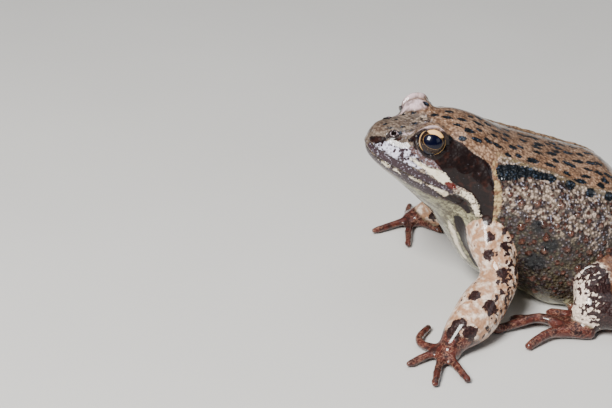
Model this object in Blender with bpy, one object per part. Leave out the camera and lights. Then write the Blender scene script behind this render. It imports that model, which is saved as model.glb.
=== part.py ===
"""A common frog, Rana temporaria, sitting up on its hands and belly, as a still, life-size model.

The frog faces -X, its left side is -Y, and the floor is Z = 0. Every length below is in units of
UNIT, a ninety-second of the snout to vent length, so the whole animal scales with that size.
The head, the trunk and each length of limb are separate closed solids, with a thin gap between them.
"""

import math

import bmesh
import bpy
from mathutils import Matrix, Vector

SNOUT_TO_VENT = 0.092  # a large female
UNIT = SNOUT_TO_VENT / 92
GAP = 0.3  # clear space between neighbouring solids
SMALLEST_EDGES = (0.05, 0.02, 0.01)  # shorter ones are merged; the first that leaves a solid closed is used
THINNEST_SHARE = 0.6  # faces thinner than this share of that are dissolved
TIDY_ROUNDS = 4
LEFT, RIGHT = -1, 1  # the sign of Y on each side

# The head's own axes start at the middle of the jaw joint.
JAW_JOINT = Vector((-4.8, 0.0, 31.8))
HEAD_PITCH = math.radians(20)  # the snout points up
HEAD_YAW = math.radians(5)  # the head is turned a little to its left
HEAD_ROLL = math.radians(3)  # and leans over to that side
NECK_PLANE = -2.6  # along the head, where it parts from the trunk

# Each place on the head is (forward, side, up) from the jaw joint.
EYE_PLACE = (13.2, 6.7, 8.2)
LID_RADIUS = 4.4
EYEBALL_RADIUS = 3.8
EYE_STANDS_OUT = 1.4  # the eyeball's centre, outwards from that of its lids
EYE_TILT = math.radians(8)  # the eyes look a little upwards
EYE_LEAD = math.radians(8)  # and a little forwards

# Head stations: forward, top, bottom, half width, height of the widest place, squareness above and below.
HEAD_STATIONS = (
    (-9.0, 11.6, -15.2, 12.5, 0.0, 2.5, 2.0),
    (-4.0, 12.6, -15.2, 13.6, 0.3, 2.6, 1.9),
    (1.0, 13.1, -13.6, 13.9, 0.5, 2.7, 1.8),
    (6.0, 12.9, -11.2, 13.3, 0.8, 2.7, 1.7),
    (11.0, 11.1, -8.8, 12.0, 0.9, 2.6, 1.7),
    (15.5, 9.1, -6.6, 10.2, 1.0, 2.5, 1.7),
    (19.5, 7.7, -4.9, 8.1, 1.2, 2.4, 1.8),
    (23.0, 6.3, -3.1, 5.5, 1.4, 2.2, 1.9),
    (25.0, 5.0, -1.6, 3.2, 1.6, 2.1, 2.0),
)
SNOUT_TIP = (26.2, 0.0, 1.9)

# Trunk stations: X, top, bottom, half width, height of the widest place, squareness above and below.
TRUNK_STATIONS = (
    (-11.0, 43.6, 19.6, 9.5, 34.0, 2.3, 2.2),
    (-7.0, 45.2, 12.6, 12.6, 32.0, 2.5, 2.3),
    (-3.0, 44.4, 6.6, 15.2, 29.0, 2.6, 2.6),
    (3.5, 41.5, 2.4, 17.6, 24.5, 2.6, 2.6),
    (10.0, 38.7, 0.4, 19.8, 20.5, 2.6, 2.7),
    (17.0, 36.1, -2.4, 21.6, 16.4, 2.6, 3.4),
    (25.0, 33.3, -2.2, 21.2, 15.6, 2.6, 3.2),
    (31.5, 31.3, 0.0, 19.0, 15.2, 2.6, 2.6),
    (35.0, 28.8, 1.4, 16.8, 15.0, 2.5, 2.4),
    (38.8, 25.2, 2.2, 15.2, 14.4, 2.4, 2.3),
    (45.0, 21.0, 3.0, 12.4, 13.2, 2.2, 2.1),
    (51.5, 17.0, 4.4, 9.0, 11.8, 2.1, 2.0),
    (56.0, 14.0, 6.2, 5.6, 10.6, 2.0, 2.0),
)
VENT = Vector((59.0, 0.0, 10.0))

# Limb stations are X, distance from the middle plane, Z and radius. Each limb starts inside the trunk.
ARM_STATIONS = {
    LEFT: (
        (3.0, 9.0, 23.0, 5.6),
        (0.2, 14.6, 20.4, 5.7),
        (1.2, 19.0, 16.4, 4.8),
        (2.6, 22.8, 13.0, 4.3),
        (0.3, 24.8, 10.8, 5.1),
        (-3.0, 27.6, 8.1, 5.8),
        (-6.1, 31.0, 6.0, 5.6),
        (-9.5, 33.7, 4.7, 4.5),
        (-11.8, 35.8, 3.1, 3.1),
    ),
    RIGHT: (
        (3.0, 9.0, 23.0, 5.6),
        (0.6, 14.6, 20.2, 5.7),
        (2.8, 19.0, 15.8, 4.8),
        (3.8, 21.8, 12.8, 4.3),
        (1.8, 23.2, 10.8, 4.9),
        (-0.8, 24.8, 8.4, 5.2),
        (-4.4, 26.6, 5.4, 4.5),
        (-7.2, 27.8, 3.8, 3.4),
        (-9.2, 28.4, 2.8, 2.7),
    ),
}
ELBOW_STATION, WRIST_STATION = 3, 7
PALMS = {LEFT: (-12.6, 36.4, 1.7), RIGHT: (-10.6, 28.6, 1.7)}
PALM_RADIUS = 3.1
# Fingers from the inner one to the outer one, each through its knuckle or knuckles to its tip.
FINGERS = {
    LEFT: (
        ((-18.0, 33.2, 1.5), (-18.6, 29.8, 1.4), (-15.4, 25.0, 1.1)),
        ((-17.4, 37.4, 1.7), (-22.6, 40.0, 1.1)),
        ((-15.4, 40.6, 1.8), (-18.0, 48.4, 1.1)),
        ((-12.6, 39.8, 1.7), (-10.2, 47.4, 1.1)),
    ),
    RIGHT: (
        ((-6.6, 24.4, 1.5), (-3.6, 21.8, 1.1)),
        ((-12.6, 23.0, 1.6), (-14.0, 15.4, 1.1)),
        ((-15.2, 26.2, 1.7), (-22.0, 23.6, 1.1)),
        ((-11.4, 32.0, 1.6), (-10.0, 37.0, 1.1)),
    ),
}
FINGER_RADII = (1.6, 1.2, 1.05)

THIGH_STATIONS = (
    (50.0, 8.2, 12.2, 6.4),
    (42.5, 13.2, 12.2, 7.2),
    (34.0, 18.4, 11.2, 6.6),
    (27.4, 22.8, 10.0, 5.0),
    (23.9, 25.4, 9.0, 4.4),
)
SHANK_STATIONS = (
    (23.2, 27.4, 6.6, 4.7),
    (29.5, 29.6, 5.7, 5.0),
    (38.5, 29.4, 5.6, 5.2),
    (50.0, 25.6, 4.7, 3.9),
    (58.5, 20.6, 3.7, 3.0),
)
TARSUS_STATIONS = (
    (58.8, 18.4, 3.5, 3.0),
    (51.0, 17.8, 2.9, 2.4),
    (41.0, 20.4, 2.6, 2.3),
    (32.0, 24.0, 2.3, 2.3),
)
SOLE = ((36.0, 21.6, 2.4, 2.3), (30.0, 24.8, 2.1, 2.6), (24.0, 28.2, 1.8, 3.0))
ANKLE_PLANE_X = 33.5  # where the foot parts from the tarsus
TOE_BASES = ((25.4, 25.6), (24.0, 27.0), (22.6, 28.8), (22.0, 30.6), (22.6, 32.2))
# Toes from the inner one to the outer one, each through its knuckle to its tip.
TOES = (
    ((23.8, 23.2, 1.6), (21.2, 20.8, 1.1)),
    ((20.0, 23.8, 1.7), (15.6, 21.2, 1.1)),
    ((16.2, 26.2, 1.7), (10.6, 24.2, 1.3), (5.8, 23.4, 1.1)),
    ((17.0, 29.8, 2.4), (12.2, 26.6, 3.2), (6.4, 26.8, 2.2), (0.6, 27.8, 1.1)),
    ((13.6, 31.8, 2.3), (7.0, 35.4, 1.1)),
)
TOE_RADII = (1.65, 1.5, 1.2)
WEB_REACH = 0.62  # how far the web runs along each toe
WEB_THICKNESS = 0.8
WEB_CLEARANCE = 0.25  # under the webs
WEB_HOLLOW = 0.35  # how far a web's front edge is drawn back towards its roots
TOE_BASE_HEIGHT = 1.7
PALM_FLATNESS = 0.75
SOLE_FLATNESS = 0.8
WRIST_LEAN = 1.3  # how far the wrist's plane leans to face the floor
RIGHT_LEG_TURN = math.radians(-5)  # the right leg lies a little further out than the left

# How each blended piece is made: voxel, rounds of softening, triangles.
BODY_BLEND = (0.55, 7, 2500)
ARM_BLEND = (0.5, 2, 400)
HAND_BLEND = (0.36, 3, 600)
FOOT_BLEND = (0.36, 3, 940)

MATERIALS = {
    # name: base colour, roughness
    "back_skin": ((0.36, 0.22, 0.13), 0.35),
    "head_skin": ((0.33, 0.21, 0.14), 0.35),
    "arm_skin": ((0.48, 0.34, 0.25), 0.35),
    "leg_skin": ((0.34, 0.22, 0.15), 0.35),
    "digit_skin": ((0.32, 0.15, 0.10), 0.4),
    "eye": ((0.05, 0.035, 0.02), 0.05),
}


def clear_scene():
    for old in list(bpy.data.objects):
        bpy.data.objects.remove(old, do_unlink=True)


def head_matrix():
    """Takes (forward, side, up) of the head to the frog's own axes. Its side axis points to the left."""
    axes = Matrix(((-1, 0, 0), (0, -1, 0), (0, 0, 1))).to_4x4()
    pitch = Matrix.Rotation(HEAD_PITCH, 4, "Y")
    yaw = Matrix.Rotation(HEAD_YAW, 4, "Z")
    roll = Matrix.Rotation(HEAD_ROLL, 4, "X")
    return Matrix.Translation(JAW_JOINT) @ yaw @ pitch @ roll @ axes


def smooth_through(stations, steps):
    """Catmull-Rom values between the stations, steps of them from one to the next."""
    count = len(stations)
    made = []
    for i in range(count - 1):
        before, after = max(i - 1, 0), min(i + 2, count - 1)
        four = [stations[k] for k in (before, i, i + 1, after)]
        for step in range(steps):
            t = step / steps
            weights = (
                (-t + 2 * t * t - t**3) / 2,
                (2 - 5 * t * t + 3 * t**3) / 2,
                (t + 4 * t * t - 3 * t**3) / 2,
                (t**3 - t * t) / 2,
            )
            made.append([sum(w * s[k] for w, s in zip(weights, four)) for k in range(len(stations[0]))])
    made.append(list(stations[-1]))
    return made


def loft(rings, start, end):
    """A closed bmesh through rings of equal length, drawn to a point at each end."""
    bm = bmesh.new()
    rows = [[bm.verts.new(p * UNIT) for p in ring] for ring in rings]
    size = len(rings[0])
    for one, other in zip(rows, rows[1:]):
        for i in range(size):
            j = (i + 1) % size
            bm.faces.new((one[i], one[j], other[j], other[i]))
    for row, tip in ((rows[0], start), (rows[-1], end)):
        pole = bm.verts.new(tip * UNIT)
        for i in range(size):
            bm.faces.new((row[(i + 1) % size], row[i], pole))
    bmesh.ops.recalc_face_normals(bm, faces=bm.faces)
    return bm


def body_ring(top, bottom, half_width, widest, square_above, square_below, count):
    """(side, up) points of a cross-section made of two half superellipses."""
    points = []
    for i in range(count):
        angle = 2 * math.pi * i / count
        across, up = math.cos(angle), math.sin(angle)
        power = 2 / (square_above if up > 0 else square_below)
        side = math.copysign(abs(across) ** power, across) * half_width
        reach = top - widest if up > 0 else widest - bottom
        points.append((side, widest + math.copysign(abs(up) ** power, up) * reach))
    return points


def trunk_mesh():
    rings = []
    for x, *section in smooth_through(TRUNK_STATIONS, 3):
        rings.append([Vector((x, side, up)) for side, up in body_ring(*section, 36)])
    first = TRUNK_STATIONS[0]
    return loft(rings, Vector((first[0] - 2, 0, first[4])), VENT)


def skull_mesh():
    to_frog = head_matrix()
    rings = []
    for forward, *section in smooth_through(HEAD_STATIONS, 3):
        ring = body_ring(*section, 36)
        rings.append([to_frog @ Vector((forward, side, up)) for side, up in ring])
    return loft(rings, to_frog @ Vector((-11, 0, 0)), to_frog @ Vector(SNOUT_TIP))


def ball(centre, radius, rings=14):
    bm = bmesh.new()
    bmesh.ops.create_uvsphere(bm, u_segments=2 * rings, v_segments=rings, radius=radius * UNIT)
    bmesh.ops.translate(bm, vec=centre * UNIT, verts=bm.verts)
    return bm


def eye_centres(side):
    """The centre of the lids and that of the eyeball. The sign of the head's side axis is that of -Y."""
    to_frog = head_matrix()
    forward, across, up = EYE_PLACE
    lids = Vector((forward, -side * across, up))
    look = Vector((math.sin(EYE_LEAD), -side * math.cos(EYE_LEAD), 0)) * math.cos(EYE_TILT)
    look.z = math.sin(EYE_TILT)
    return to_frog @ lids, to_frog @ (lids + look * EYE_STANDS_OUT)


def tube(stations, count=12, steps=2):
    """A limb through its stations, round in section, with a round end at each of them."""
    along = smooth_through(stations, steps)
    places = [Vector(s[:3]) for s in along]
    radii = [s[3] for s in along]
    ways = [
        (places[min(i + 1, len(places) - 1)] - places[max(i - 1, 0)]).normalized()
        for i in range(len(places))
    ]
    side = ways[0].orthogonal().normalized()
    frames = []
    for way in ways:
        side = (side - way * side.dot(way)).normalized()
        frames.append((side.copy(), way.cross(side)))

    def ring(place, frame, radius):
        turns = [2 * math.pi * k / count for k in range(count)]
        return [place + (frame[0] * math.cos(a) + frame[1] * math.sin(a)) * radius for a in turns]

    def cap(index, sense):
        """The rings of a round end, from the pole to the limb's own first or last ring."""
        made = []
        for share in (0.85, 0.5):
            place = places[index] + ways[index] * sense * radii[index] * share
            made.append(ring(place, frames[index], radii[index] * math.sqrt(1 - share * share)))
        return made

    rings = cap(0, -1) + [ring(*row) for row in zip(places, frames, radii)] + cap(-1, 1)[::-1]
    start = places[0] - ways[0] * radii[0]
    end = places[-1] + ways[-1] * radii[-1]
    return loft(rings, start, end)


def flatten(bm, share):
    """Brings a shape's heights above the floor down to this share of them."""
    bmesh.ops.transform(bm, matrix=Matrix.Diagonal((1, 1, share, 1)), verts=bm.verts)


def flat_web(outline, thickness):
    """A level web with its underside just above the floor."""
    bm = bmesh.new()
    corners = [bm.verts.new(Vector((x, y, WEB_CLEARANCE)) * UNIT) for x, y in outline]
    face = bm.faces.new(corners)
    raised = bmesh.ops.extrude_face_region(bm, geom=[face])["geom"]
    verts = [g for g in raised if isinstance(g, bmesh.types.BMVert)]
    bmesh.ops.translate(bm, vec=Vector((0, 0, thickness * UNIT)), verts=verts)
    bmesh.ops.triangulate(bm, faces=bm.faces)
    bmesh.ops.recalc_face_normals(bm, faces=bm.faces)
    return bm


def to_object(bm, name):
    mesh = bpy.data.meshes.new(name)
    bm.to_mesh(mesh)
    bm.free()
    obj = bpy.data.objects.new(name, mesh)
    bpy.context.scene.collection.objects.link(obj)
    return obj


def joined(name, shapes):
    """One object from several bmeshes, which may overlap until it is blended."""
    whole = bmesh.new()
    for bm in shapes:
        part = bpy.data.meshes.new("part")
        bm.to_mesh(part)
        bm.free()
        whole.from_mesh(part)
        bpy.data.meshes.remove(part)
    return to_object(whole, name)


def apply_modifiers(obj):
    graph = bpy.context.evaluated_depsgraph_get()
    graph.update()
    made = bpy.data.meshes.new_from_object(obj.evaluated_get(graph))
    obj.modifiers.clear()
    obj.data = made


def slim(obj, triangles):
    """Brings an object down to about this many triangles."""
    obj.data.calc_loop_triangles()
    now = len(obj.data.loop_triangles)
    if now <= triangles:
        return
    fewer = obj.modifiers.new("fewer", "DECIMATE")
    fewer.ratio = triangles / now
    fewer.use_collapse_triangulate = True
    apply_modifiers(obj)


def blend(obj, voxel, rounds, triangles):
    """Runs overlapping shapes into one smooth skin, then brings it down to about this many triangles."""
    remesh = obj.modifiers.new("blend", "REMESH")
    remesh.mode = "VOXEL"
    remesh.voxel_size = voxel * UNIT
    soften = obj.modifiers.new("soften", "SMOOTH")
    soften.factor = 0.5
    soften.iterations = rounds
    apply_modifiers(obj)
    slim(obj, triangles)


def copy_of(obj, name):
    twin = bpy.data.objects.new(name, obj.data.copy())
    bpy.context.scene.collection.objects.link(twin)
    return twin


def keep_side(obj, point, normal, inset=GAP / 2):
    """Keeps what lies on the normal's side of the plane, set back by inset, and closes the cut."""
    way = Vector(normal).normalized()
    place = (Vector(point) + way * inset) * UNIT
    bm = bmesh.new()
    bm.from_mesh(obj.data)
    cut = bmesh.ops.bisect_plane(
        bm,
        geom=bm.verts[:] + bm.edges[:] + bm.faces[:],
        dist=1e-7,
        plane_co=place,
        plane_no=way,
        clear_inner=True,
    )
    edges = [g for g in cut["geom_cut"] if isinstance(g, bmesh.types.BMEdge)]
    if edges:
        bmesh.ops.holes_fill(bm, edges=edges, sides=0)
    bmesh.ops.triangulate(bm, faces=bm.faces)
    bmesh.ops.recalc_face_normals(bm, faces=bm.faces)
    bm.to_mesh(obj.data)
    bm.free()


def stand_on_floor(obj):
    """Cuts the underside to a flat at the floor's level."""
    keep_side(obj, (0, 0, 0), (0, 0, 1), inset=0)


def grown(obj, amount):
    """A copy pushed out along its normals, as a hidden cutter."""
    cutter = copy_of(obj, obj.name + "_cutter")
    cutter.hide_render = True
    cutter.display_type = "WIRE"
    normals = [v.normal.copy() for v in obj.data.vertices]
    for vertex, normal in zip(cutter.data.vertices, normals):
        vertex.co += normal * amount * UNIT
    return cutter


def carve(obj, *neighbours, clearance=GAP):
    """Takes the neighbours, with a clear gap round them, out of an object."""
    for neighbour in neighbours:
        cutter = grown(neighbour, clearance)
        cut = obj.modifiers.new("clear", "BOOLEAN")
        cut.operation = "DIFFERENCE"
        cut.solver = "EXACT"
        cut.object = cutter
        apply_modifiers(obj)
        bpy.data.objects.remove(cutter, do_unlink=True)
    keep_largest(obj)


def keep_largest(obj):
    """Drops every loose scrap that a cut has left."""
    bm = bmesh.new()
    bm.from_mesh(obj.data)
    waiting = set(bm.verts)
    islands = []
    while waiting:
        island, border = set(), [waiting.pop()]
        while border:
            vertex = border.pop()
            island.add(vertex)
            near = {e.other_vert(vertex) for e in vertex.link_edges} & waiting
            waiting -= near
            border.extend(near)
        islands.append(island)
    largest = max(islands, key=len)
    scraps = [v for island in islands if island is not largest for v in island]
    bmesh.ops.delete(bm, geom=scraps, context="VERTS")
    bm.to_mesh(obj.data)
    bm.free()


def finish(obj, material_name):
    """Merges the slivers that cuts leave, as far as the surface stays closed, and gives the material."""
    for smallest in SMALLEST_EDGES:
        bm = bmesh.new()
        bm.from_mesh(obj.data)
        bmesh.ops.triangulate(bm, faces=bm.faces)
        bmesh.ops.remove_doubles(bm, verts=bm.verts, dist=smallest * UNIT)
        for _ in range(TIDY_ROUNDS):
            bmesh.ops.dissolve_degenerate(bm, edges=bm.edges, dist=THINNEST_SHARE * smallest * UNIT)
            bmesh.ops.triangulate(bm, faces=bm.faces)
        closed = all(edge.is_manifold for edge in bm.edges)
        if closed:
            bm.to_mesh(obj.data)
        bm.free()
        if closed:
            break
    obj.data.materials.clear()
    obj.data.materials.append(material(material_name))
    obj.data.shade_smooth()
    obj.data.set_sharp_from_angle(angle=math.radians(40))


def material(name):
    made = bpy.data.materials.get(name)
    if made is None:
        colour, roughness = MATERIALS[name]
        made = bpy.data.materials.new(name)
        made.use_nodes = True
        shader = made.node_tree.nodes["Principled BSDF"]
        shader.inputs["Base Color"].default_value = (*colour, 1)
        shader.inputs["Roughness"].default_value = roughness
        shader.inputs["Metallic"].default_value = 0.0
    return made


def make_body():
    """The trunk, the head and the two eyes. Returns their whole outline, which the limbs keep clear of."""
    lids = {side: eye_centres(side)[0] for side in (LEFT, RIGHT)}
    shapes = [trunk_mesh(), skull_mesh()] + [ball(place, LID_RADIUS) for place in lids.values()]
    body = joined("trunk", shapes)
    blend(body, *BODY_BLEND)
    stand_on_floor(body)
    outline = copy_of(body, "outline")
    head = copy_of(body, "head")
    to_frog = head_matrix()
    forward = (to_frog.to_3x3() @ Vector((1, 0, 0))).normalized()
    neck = to_frog @ Vector((NECK_PLANE, 0, 0))
    keep_side(head, neck, forward)
    keep_side(body, neck, -forward)
    for side, word in ((LEFT, "left"), (RIGHT, "right")):
        eye = to_object(ball(eye_centres(side)[1], EYEBALL_RADIUS, rings=8), "eye_" + word)
        carve(head, eye)
        finish(eye, "eye")
    finish(head, "head_skin")
    finish(body, "back_skin")
    return outline


def on_side(stations, side):
    """Stations with their distance from the middle plane turned into Y."""
    return [(s[0], side * s[1], *s[2:]) for s in stations]


def digit(base, places, radii):
    """A finger or toe from its base through its knuckles to its tip."""
    last = len(places)
    stations = [(*base, radii[0])]
    for i, place in enumerate(places, start=1):
        share = i / last
        stations.append((*place, radii[1] + (radii[2] - radii[1]) * share))
    return tube(stations, count=10, steps=4)


def make_arm(side, word, outline):
    stations = on_side(ARM_STATIONS[side], side)
    arm = to_object(tube(stations), "upper_arm_" + word)
    blend(arm, *ARM_BLEND)
    elbow, wrist = (Vector(stations[k][:3]) for k in (ELBOW_STATION, WRIST_STATION))
    into = (elbow - Vector(stations[ELBOW_STATION - 1][:3])).normalized()
    out_of = (Vector(stations[ELBOW_STATION + 1][:3]) - elbow).normalized()
    elbow_normal = into + out_of
    forearm_way = (wrist - elbow).normalized()
    wrist_normal = forearm_way + Vector((0, 0, -WRIST_LEAN))

    forearm = copy_of(arm, "forearm_" + word)
    keep_side(arm, elbow, -elbow_normal)
    carve(arm, outline)
    keep_side(forearm, elbow, elbow_normal)

    palm = Vector(on_side([PALMS[side]], side)[0])
    shapes = [tube(stations[WRIST_STATION - 1 :]), ball(palm, PALM_RADIUS)]
    flatten(shapes[1], PALM_FLATNESS)
    for places in FINGERS[side]:
        shapes.append(digit(palm, on_side(places, side), FINGER_RADII))
    hand = joined("hand_" + word, shapes)
    blend(hand, *HAND_BLEND)
    stand_on_floor(hand)
    keep_side(hand, wrist, wrist_normal)
    keep_side(forearm, wrist, -wrist_normal)
    finish(arm, "arm_skin")
    finish(forearm, "arm_skin")
    finish(hand, "digit_skin")


def make_leg(side, word, outline):
    thigh = to_object(tube(on_side(THIGH_STATIONS, side)), "thigh_" + word)
    shank = to_object(tube(on_side(SHANK_STATIONS, side)), "shank_" + word)
    tarsus = to_object(tube(on_side(TARSUS_STATIONS, side), count=10), "tarsus_" + word)
    foot = make_foot(side, word)
    if side == RIGHT:
        hip = Vector(on_side(THIGH_STATIONS, side)[0][:3]) * UNIT
        turn = Matrix.Translation(hip) @ Matrix.Rotation(RIGHT_LEG_TURN, 4, "Z") @ Matrix.Translation(-hip)
        for piece in (thigh, shank, tarsus, foot):
            piece.data.transform(turn)
    else:
        turn = Matrix.Identity(4)

    def placed(station):
        return turn @ (Vector(on_side([station], side)[0][:3]) * UNIT) / UNIT

    knee = (placed(THIGH_STATIONS[-1]) + placed(SHANK_STATIONS[0])) / 2
    to_hip = (placed(THIGH_STATIONS[0]) - knee).normalized()
    to_ankle = (placed(SHANK_STATIONS[-1]) - knee).normalized()
    keep_side(thigh, knee, to_hip - to_ankle)
    keep_side(shank, knee, to_ankle - to_hip)

    ankle = (placed(SHANK_STATIONS[-1]) + placed(TARSUS_STATIONS[0])) / 2
    up_shank = (placed(SHANK_STATIONS[0]) - ankle).normalized()
    along_foot = (placed(TARSUS_STATIONS[-1]) - ankle).normalized()
    keep_side(shank, ankle, up_shank - along_foot)
    keep_side(tarsus, ankle, along_foot - up_shank)

    parting = placed((ANKLE_PLANE_X, TARSUS_STATIONS[-1][1], 0))
    keep_side(tarsus, parting, -along_foot)
    keep_side(foot, parting, along_foot)
    for piece in (foot, tarsus, shank):
        stand_on_floor(piece)
    carve(tarsus, outline)
    carve(shank, foot, outline)
    carve(thigh, outline)
    for piece in (thigh, shank, tarsus):
        finish(piece, "leg_skin")
    finish(foot, "digit_skin")


def make_foot(side, word):
    """The sole, five toes and the webs between them."""
    shapes = [tube(on_side(SOLE, side), count=12)]
    flatten(shapes[0], SOLE_FLATNESS)
    bases = [(*base, TOE_BASE_HEIGHT) for base in TOE_BASES]
    for base, places in zip(bases, TOES):
        middle = on_side([base], side)[0]
        shapes.append(digit(middle, on_side(places, side), TOE_RADII))
    for i in range(len(TOES) - 1):
        shapes.append(toe_web(bases[i], TOES[i], bases[i + 1], TOES[i + 1], side))
    foot = joined("foot_" + word, shapes)
    blend(foot, *FOOT_BLEND)
    return foot


def toe_web(base_a, toe_a, base_b, toe_b, side):
    """The web between two toes, with a hollow front edge."""

    def along(base, toe, share):
        """A point at this share of the way from a toe's base to its tip, through the first knuckle."""
        knuckle, tip = Vector(toe[0][:2]), Vector(toe[-1][:2])
        start = Vector(base[:2])
        if share < 0.5:
            return start.lerp(knuckle, share * 2)
        return knuckle.lerp(tip, share * 2 - 1)

    near_a, near_b = along(base_a, toe_a, WEB_REACH), along(base_b, toe_b, WEB_REACH)
    hollow = (near_a + near_b) / 2
    roots = (Vector(base_a[:2]) + Vector(base_b[:2])) / 2
    hollow = hollow.lerp(roots, WEB_HOLLOW)
    outline = [Vector(base_a[:2]), along(base_a, toe_a, 0.5), near_a, hollow, near_b]
    outline += [along(base_b, toe_b, 0.5), Vector(base_b[:2])]
    return flat_web([(p.x, side * p.y) for p in outline], WEB_THICKNESS)


def centre_on_origin():
    """Moves the frog so that the middle of its outline on the floor is the origin."""
    pieces = [o for o in bpy.context.scene.objects if o.type == "MESH"]
    corners = [v.co for o in pieces for v in o.data.vertices]
    low = [min(c[k] for c in corners) for k in (0, 1)]
    high = [max(c[k] for c in corners) for k in (0, 1)]
    shift = Vector((-(low[0] + high[0]) / 2, -(low[1] + high[1]) / 2, 0))
    for piece in pieces:
        piece.data.transform(Matrix.Translation(shift))


def main():
    clear_scene()
    outline = make_body()
    for side, word in ((LEFT, "left"), (RIGHT, "right")):
        make_arm(side, word, outline)
        make_leg(side, word, outline)
    bpy.data.objects.remove(outline, do_unlink=True)
    centre_on_origin()


main()
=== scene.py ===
import math
import random

import bmesh
import bpy
import numpy as np
from mathutils import Matrix, Vector, kdtree, noise
from mathutils.bvhtree import BVHTree


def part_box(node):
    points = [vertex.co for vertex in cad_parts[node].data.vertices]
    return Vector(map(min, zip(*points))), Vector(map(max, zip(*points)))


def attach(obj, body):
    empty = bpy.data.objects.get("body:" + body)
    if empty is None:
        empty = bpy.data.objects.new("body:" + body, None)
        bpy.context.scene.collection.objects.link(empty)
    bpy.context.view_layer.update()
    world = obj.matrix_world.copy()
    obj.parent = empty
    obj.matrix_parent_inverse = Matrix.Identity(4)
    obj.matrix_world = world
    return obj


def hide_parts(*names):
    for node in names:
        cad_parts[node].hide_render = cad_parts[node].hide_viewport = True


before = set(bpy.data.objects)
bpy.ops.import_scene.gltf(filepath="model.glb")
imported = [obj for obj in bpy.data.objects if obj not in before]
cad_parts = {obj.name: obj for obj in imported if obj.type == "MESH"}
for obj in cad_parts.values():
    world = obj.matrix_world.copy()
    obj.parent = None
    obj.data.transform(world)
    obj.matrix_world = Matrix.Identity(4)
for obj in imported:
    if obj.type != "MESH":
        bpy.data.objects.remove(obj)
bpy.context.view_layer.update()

bl_info = {
    "name": "Common Frog Model",
    "version": (1, 0, 0),
    "blender": (4, 5, 0),
    "location": "View3D > Sidebar > Frog",
    "description": "The wet skin, eyes and studio of a life-size common frog",
    "category": "Object",
}

MM = 0.001
BODY = "root"
LEFT, RIGHT = -1, 1
WORDS = {LEFT: "left", RIGHT: "right"}

# The frog's own frame, in mm: it faces -X, its left is -Y, and Z = 0 is the floor.
JAW_JOINT = Vector((-4.8, 0.0, 31.8))
HEAD_PITCH, HEAD_YAW, HEAD_ROLL = math.radians(20), math.radians(5), math.radians(3)
EYE_PLACE = (13.2, 6.7, 8.2)
EYEBALL_RADIUS = 3.8
EYE_STANDS_OUT = 1.4
EYE_TILT, EYE_LEAD = math.radians(8), math.radians(8)
LOOK_UP, LOOK_AHEAD = math.radians(24), math.radians(15)

# Lines on the head, as (forward, sideways, up) from the jaw joint, with a radius where it varies.
# Many of these places, and those on the trunk below, started as the output of a scratch script.
CANTHUS = ((24.5, 2.6, 5.2), (21.5, 4.0, 6.8), (18.6, 5.6, 8.2), (16.8, 6.6, 9.6))
MOUTH = ((25.8, 0.0, -0.1), (25.0, 2.6, -0.4), (22.4, 5.4, -0.8), (17.6, 8.6, -0.9), (12.8, 10.8, -1.1),
         (7.6, 12.6, -1.4), (3.0, 13.7, -1.6), (0.6, 14.6, -2.0))
TEMPLE_FOLD = ((10.6, 8.2, 11.2), (7.2, 9.6, 10.5), (4.4, 10.9, 9.9), (1.3, 11.9, 9.1), (-0.6, 13.8, 7.0),
               (-2.9, 16.0, 4.0), (-4.4, 17.0, 0.4), (-5.8, 17.3, -3.4))
JAW_RIDGE = ((5.2, 13.3, 0.4, 0.5), (3.2, 13.8, 0.0, 0.8), (1.0, 14.3, -0.4, 0.9), (-0.8, 15.2, -1.7, 0.9),
             (-2.4, 15.7, -3.6, 0.8))
MASK = ((11.6, 9.4, 7.0, 2.6), (9.8, 9.8, 7.6, 3.6), (7.6, 10.7, 6.9, 4.1), (4.9, 12.2, 5.6, 4.3),
        (1.6, 12.9, 5.0, 4.3), (-0.6, 14.6, 3.3, 3.2), (-2.4, 15.8, 0.9, 2.2), (-4.1, 16.5, -2.3, 1.6),
        (-5.2, 17.0, -4.6, 1.3))
CREAM_STRIPE = ((17.4, 9.0, 3.4, 0.2), (15.2, 10.3, 3.0, 0.5), (12.6, 11.4, 2.5, 0.6), (10.4, 12.1, 2.3, 1.2),
                (8.2, 12.8, 1.7, 1.3), (6.9, 13.1, 1.2, 0.7))
SNOUT_PATCH = ((25.4, 1.8, 2.4, 0.6), (24.4, 3.2, 3.0, 1.0), (23.2, 4.0, 3.9, 0.8), (22.0, 4.3, 4.8, 0.5))
NOSE_STRIPE = ((22.4, 4.0, 5.2, 0.6), (21.4, 4.5, 5.3, 0.9), (20.0, 5.3, 5.7, 0.6))
BEFORE_EYE = ((18.3, 6.9, 6.9, 0.6), (17.2, 7.6, 8.2, 1.1), (16.4, 8.6, 6.0, 0.6))
LIP_MOTTLE = ((24.0, 4.0, 2.4, 1.2), (21.4, 6.2, 3.0, 1.9), (18.6, 8.2, 3.3, 1.9), (16.2, 9.6, 3.0, 1.5),
              (13.4, 11.0, 2.6, 0.9))
LIP_BAND = ((25.4, 2.4, 0.9, 0.8), (23.2, 5.4, 0.3, 1.2), (18.4, 8.8, 0.3, 1.3), (13.6, 10.9, 0.0, 1.3),
            (9.4, 12.3, -0.3, 1.2), (5.6, 13.2, -0.9, 0.9))
JAW_BAND = ((25.4, 1.0, -1.6, 1.2), (23.0, 4.6, -2.4, 1.6), (17.6, 8.0, -2.9, 1.9), (12.6, 10.2, -3.4, 2.0),
            (8.4, 11.8, -3.6, 1.7))
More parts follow.
